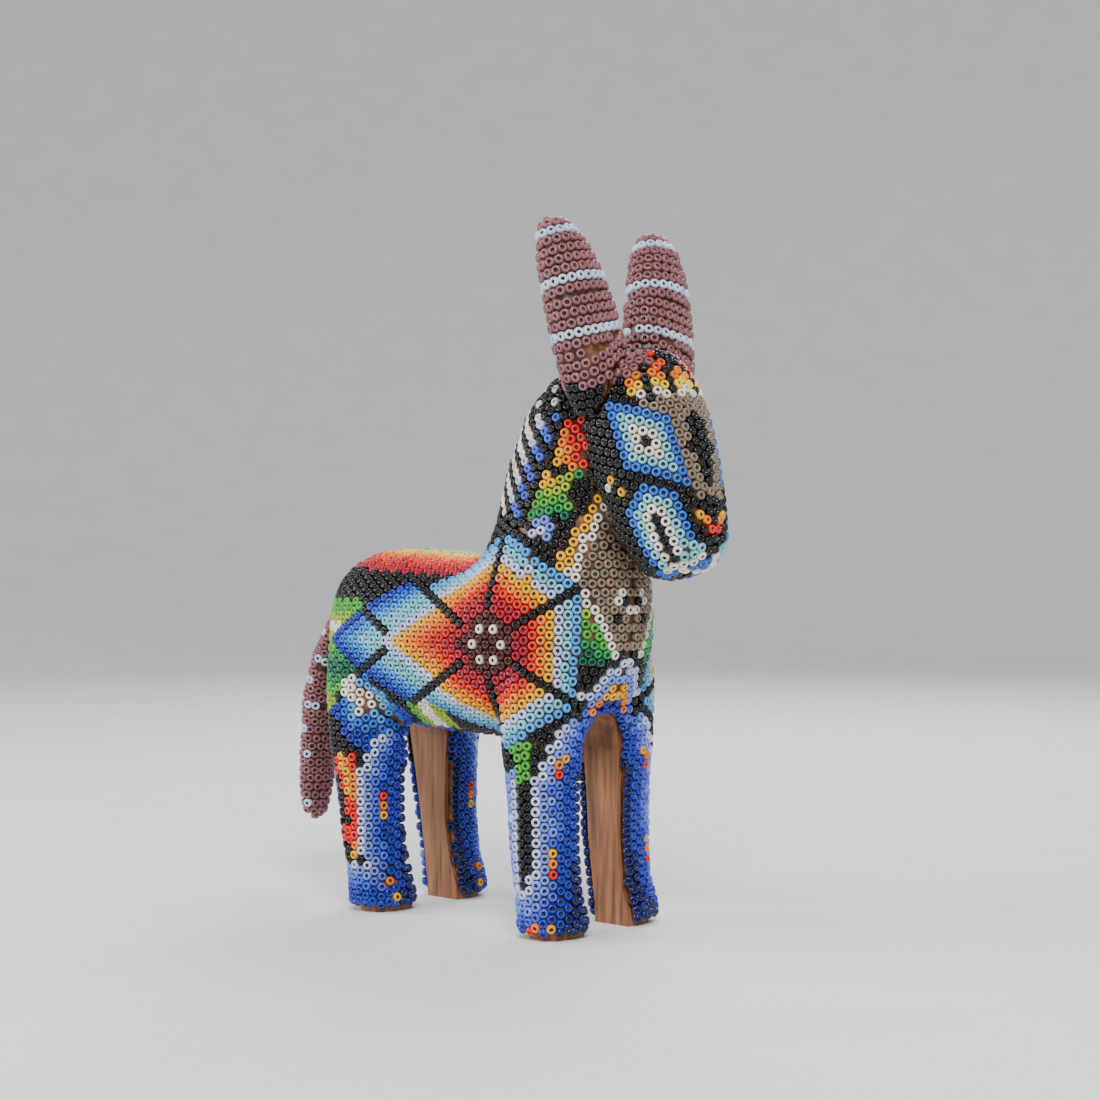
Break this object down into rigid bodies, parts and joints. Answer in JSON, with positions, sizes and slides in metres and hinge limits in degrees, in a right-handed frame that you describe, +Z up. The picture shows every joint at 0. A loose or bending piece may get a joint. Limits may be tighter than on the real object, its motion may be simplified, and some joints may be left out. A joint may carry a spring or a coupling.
{
  "type": "beaded donkey figure",
  "caption": "Standing donkey figure carved in wood and covered with glass seed beads pressed into wax in star, diamond and stripe patterns.",
  "frame": {"origin": "on the plane of the soles, under the middle of the figure's overall length and width", "axes": "+X towards the head, +Y towards the donkey's left side, +Z up"},
  "size_m": [0.121, 0.0436, 0.1463],
  "materials": {
    "carved_wood": "bare, sanded",
    "peg_wood": "bare",
    "beeswax": "satin wax",
    "blue_beads": "glossy opaque glass",
    "dark_beads": "glossy opaque glass",
    "red_beads": "glossy opaque glass",
    "orange_beads": "glossy opaque glass",
    "taupe_beads": "glossy opaque glass",
    "plum_beads": "glossy opaque glass"
  },
  "bodies": {
    "root": {"body_block": "carved_wood", "right_ear_blank": "carved_wood", "left_ear_blank": "carved_wood", "tail_blank": "carved_wood", "right_ear_peg": "peg_wood", "left_ear_peg": "peg_wood", "tail_peg": "peg_wood", "body_wax": "beeswax", "right_ear_wax": "beeswax", "left_ear_wax": "beeswax", "tail_wax": "beeswax", "head_beads": "blue_beads", "neck_beads": "dark_beads", "back_beads": "orange_beads", "chest_beads": "taupe_beads", "right_flank_beads": "red_beads", "left_flank_beads": "red_beads", "right_front_leg_beads": "blue_beads", "left_front_leg_beads": "blue_beads", "right_rear_leg_beads": "blue_beads", "left_rear_leg_beads": "blue_beads", "right_ear_beads": "plum_beads", "left_ear_beads": "plum_beads", "tail_beads": "plum_beads"}
  },
  "joints": []
}
